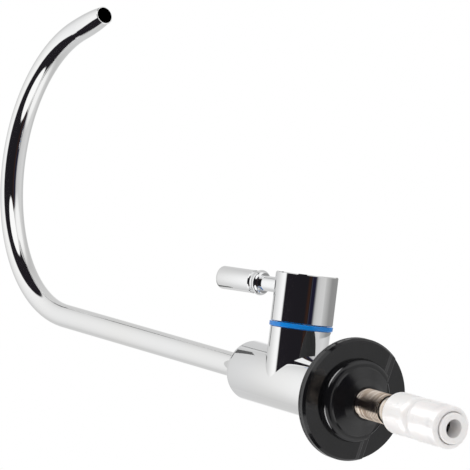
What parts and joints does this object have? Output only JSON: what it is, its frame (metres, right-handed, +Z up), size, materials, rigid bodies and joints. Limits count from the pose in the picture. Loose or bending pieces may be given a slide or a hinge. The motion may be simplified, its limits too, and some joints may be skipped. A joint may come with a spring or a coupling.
{
  "type": "reverse osmosis faucet",
  "caption": "Drinking water faucet with a swivelling swan-neck spout, a quarter-turn side lever, an indicator ring, a threaded shank below the counter and a push-in tube fitting.",
  "frame": {"origin": "on the body's axis, in the plane of the countertop (the underside of the base)", "axes": "+Z up along the body and the spout's riser; -Y towards the handle, along the branch, which leans 3 degrees up"},
  "size_m": [0.0452, 0.1466, 0.3333],
  "materials": {
    "chrome": "polished",
    "nickel": "nickel plated",
    "brass": "machined",
    "steel": "plain",
    "ceramic": "lapped ceramic",
    "black_plastic": "glossy",
    "rubber": "matte",
    "blue_plastic": "glossy",
    "bush_plastic": "plain",
    "white_plastic": "satin"
  },
  "bodies": {
    "faucet": {"body": "chrome", "shank": "nickel", "shank_o_ring": "rubber", "base_gasket": "rubber", "base_plate": "black_plastic", "seat_seal": "rubber", "fixed_disc": "ceramic", "cartridge_housing": "brass", "cartridge_o_ring": "rubber", "blue_ring": "blue_plastic", "spout_screw": "steel", "spout_bush": "bush_plastic"},
    "spout": {"spout_tube": "chrome", "spout_tail": "brass", "spout_o_rings": "rubber"},
    "handle": {"handle_cap": "chrome", "handle_screw": "steel", "lever_bar": "chrome", "lever_knob": "chrome", "spindle": "brass", "spindle_clip": "steel", "spindle_o_ring": "rubber", "moving_disc": "ceramic"},
    "fitting": {"fitting_body": "white_plastic", "fitting_seal": "rubber", "tube_o_ring": "rubber", "grab_ring": "steel", "fitting_cap": "white_plastic"},
    "collet": {"collet": "white_plastic"}
  },
  "joints": [
    {"name": "spout_swivel", "type": "hinge", "parent": "faucet", "child": "spout", "pos_m": [0, 0, 0.06], "axis": [0, 0, 1], "continuous": true},
    {"name": "handle_turn", "type": "hinge", "parent": "faucet", "child": "handle", "pos_m": [0, -0.01997, 0.04195], "axis": [0, -0.9986, 0.0523], "range_deg": [0, 90]},
    {"name": "fitting_unscrew", "type": "slide", "parent": "faucet", "child": "fitting", "axis": [0, 0, -1], "range_m": [0, 0.03]},
    {"name": "collet_press", "type": "slide", "parent": "fitting", "child": "collet", "axis": [0, 0, 1], "range_m": [0, 0.0015], "stiffness_N_per_m": 1000}
  ]
}
